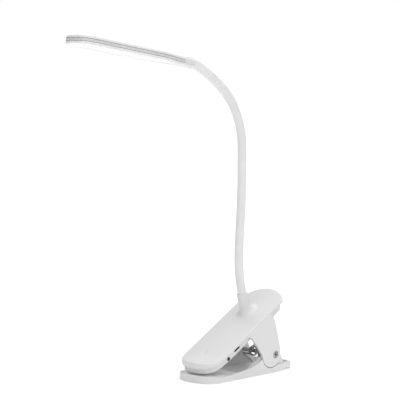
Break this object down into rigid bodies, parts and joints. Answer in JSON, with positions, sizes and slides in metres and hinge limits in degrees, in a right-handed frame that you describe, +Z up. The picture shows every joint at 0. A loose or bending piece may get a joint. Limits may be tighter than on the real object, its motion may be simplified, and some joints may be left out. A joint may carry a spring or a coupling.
{
  "type": "clip on reading lamp",
  "caption": "Rechargeable reading lamp: a spring clip holding battery and board, a bendable sleeved neck and a flat lit head with an opal diffuser.",
  "frame": {"origin": "on the surface the clip stands on, straight below the clip's pivot, in the middle plane", "axes": "+Z up; the clip's nose and the lamp head point along -Y; the charging socket is on the +X side"},
  "size_m": [0.05, 0.264, 0.3284],
  "materials": {
    "cover_plastic": "satin gloss moulded ABS",
    "tray_plastic": "satin moulded ABS",
    "jaw_plastic": "satin moulded ABS",
    "head_plastic": "satin moulded ABS",
    "head_frame_plastic": "satin moulded ABS",
    "neck_silicone": "soft matt silicone sleeve",
    "conduit_steel": "spiral-wound conduit",
    "lead_insulation": "insulated stranded lead",
    "grip_rubber": "ribbed matt rubber, pale grey",
    "shaft_chrome": "bright plating",
    "screw_steel": "bright zinc plating",
    "case_screw_steel": "zinc plated",
    "spring_steel": "nickel-plated spring wire",
    "cell_foil": "laminated foil pouch",
    "battery_lead_insulation": "insulated lead",
    "board_laminate": "solder-masked laminate",
    "component_black": "moulded packages",
    "socket_steel": "plated pressed steel",
    "indicator_window": "dark smoked window",
    "contact_copper": "copper foil",
    "contact_steel": "spring contact",
    "ferrule_brass": "crimped ring",
    "diffuser_opal": "opal, lit from within",
    "reflector_white": "white film",
    "led_board_aluminium": "white-masked aluminium board",
    "led_phosphor": "phosphor-filled lens"
  },
  "bodies": {
    "lower_jaw": {"lower_jaw": "jaw_plastic", "lower_grip_pad": "grip_rubber", "pivot_shaft": "shaft_chrome", "pivot_screws": "screw_steel", "spring_coils": "spring_steel"},
    "clip_housing": {"top_cover": "cover_plastic", "battery_tray": "tray_plastic", "upper_grip_pad": "grip_rubber", "spring_bridge": "spring_steel", "battery_cell": "cell_foil", "battery_leads": "battery_lead_insulation", "control_board": "board_laminate", "board_components": "component_black", "usb_socket": "socket_steel", "charge_light": "indicator_window", "touch_plate": "contact_copper", "touch_spring": "contact_steel", "case_screws": "case_screw_steel", "neck_root_ferrule": "ferrule_brass", "neck_sleeve_0": "neck_silicone", "neck_conduit_0": "conduit_steel", "neck_leads_0": "lead_insulation"},
    "neck_1": {"neck_sleeve_1": "neck_silicone", "neck_conduit_1": "conduit_steel", "neck_leads_1": "lead_insulation"},
    "neck_2": {"neck_sleeve_2": "neck_silicone", "neck_conduit_2": "conduit_steel", "neck_leads_2": "lead_insulation"},
    "neck_3": {"neck_sleeve_3": "neck_silicone", "neck_conduit_3": "conduit_steel", "neck_leads_3": "lead_insulation"},
    "neck_4": {"neck_sleeve_4": "neck_silicone", "neck_conduit_4": "conduit_steel", "neck_leads_4": "lead_insulation"},
    "neck_5": {"neck_sleeve_5": "neck_silicone", "neck_conduit_5": "conduit_steel", "neck_leads_5": "lead_insulation"},
    "neck_6": {"neck_sleeve_6": "neck_silicone", "neck_conduit_6": "conduit_steel", "neck_leads_6": "lead_insulation"},
    "neck_7": {"neck_sleeve_7": "neck_silicone", "neck_conduit_7": "conduit_steel", "neck_leads_7": "lead_insulation"},
    "lamp_head": {"neck_sleeve_8": "neck_silicone", "neck_conduit_8": "conduit_steel", "neck_leads_8": "lead_insulation", "head_ferrule": "ferrule_brass", "head_top_shell": "head_plastic", "head_lower_frame": "head_frame_plastic", "diffuser": "diffuser_opal", "reflector_film": "reflector_white", "led_board": "led_board_aluminium", "led_chips": "led_phosphor"}
  },
  "joints": [
    {"name": "jaw_opening", "type": "hinge", "parent": "lower_jaw", "child": "clip_housing", "pos_m": [0, 0, 0.0175], "axis": [-1, 0, 0], "range_deg": [0, 28], "stiffness_Nm_per_rad": 1, "springref_deg": -51.57},
    {"name": "neck_bend_1_pitch", "type": "hinge", "parent": "clip_housing", "child": "neck_1", "pos_m": [0, -0.02566, 0.09443], "axis": [1, 0, 0], "range_deg": [-20, 20]},
    {"name": "neck_bend_2_sway", "type": "hinge", "parent": "neck_1", "child": "neck_2", "pos_m": [0, -0.02661, 0.12664], "axis": [0, -0.9978, 0.0663], "range_deg": [-20, 20]},
    {"name": "neck_bend_3_pitch", "type": "hinge", "parent": "neck_2", "child": "neck_3", "pos_m": [0, -0.02447, 0.15887], "axis": [1, 0, 0], "range_deg": [-20, 20]},
    {"name": "neck_bend_4_sway", "type": "hinge", "parent": "neck_3", "child": "neck_4", "pos_m": [0, -0.02308, 0.19113], "axis": [0, -0.9999, 0.0162], "range_deg": [-20, 20]},
    {"name": "neck_bend_5_pitch", "type": "hinge", "parent": "neck_4", "child": "neck_5", "pos_m": [0, -0.02302, 0.22343], "axis": [1, 0, 0], "range_deg": [-20, 20]},
    {"name": "neck_bend_6_sway", "type": "hinge", "parent": "neck_5", "child": "neck_6", "pos_m": [0, -0.03041, 0.25461], "axis": [0, -0.9025, -0.4307], "range_deg": [-20, 20]},
    {"name": "neck_bend_7_pitch", "type": "hinge", "parent": "neck_6", "child": "neck_7", "pos_m": [0, -0.05001, 0.27998], "axis": [1, 0, 0], "range_deg": [-20, 20]},
    {"name": "neck_bend_8_sway", "type": "hinge", "parent": "neck_7", "child": "lamp_head", "pos_m": [0, -0.07664, 0.29814], "axis": [0, -0.4772, -0.8788], "range_deg": [-20, 20]}
  ]
}
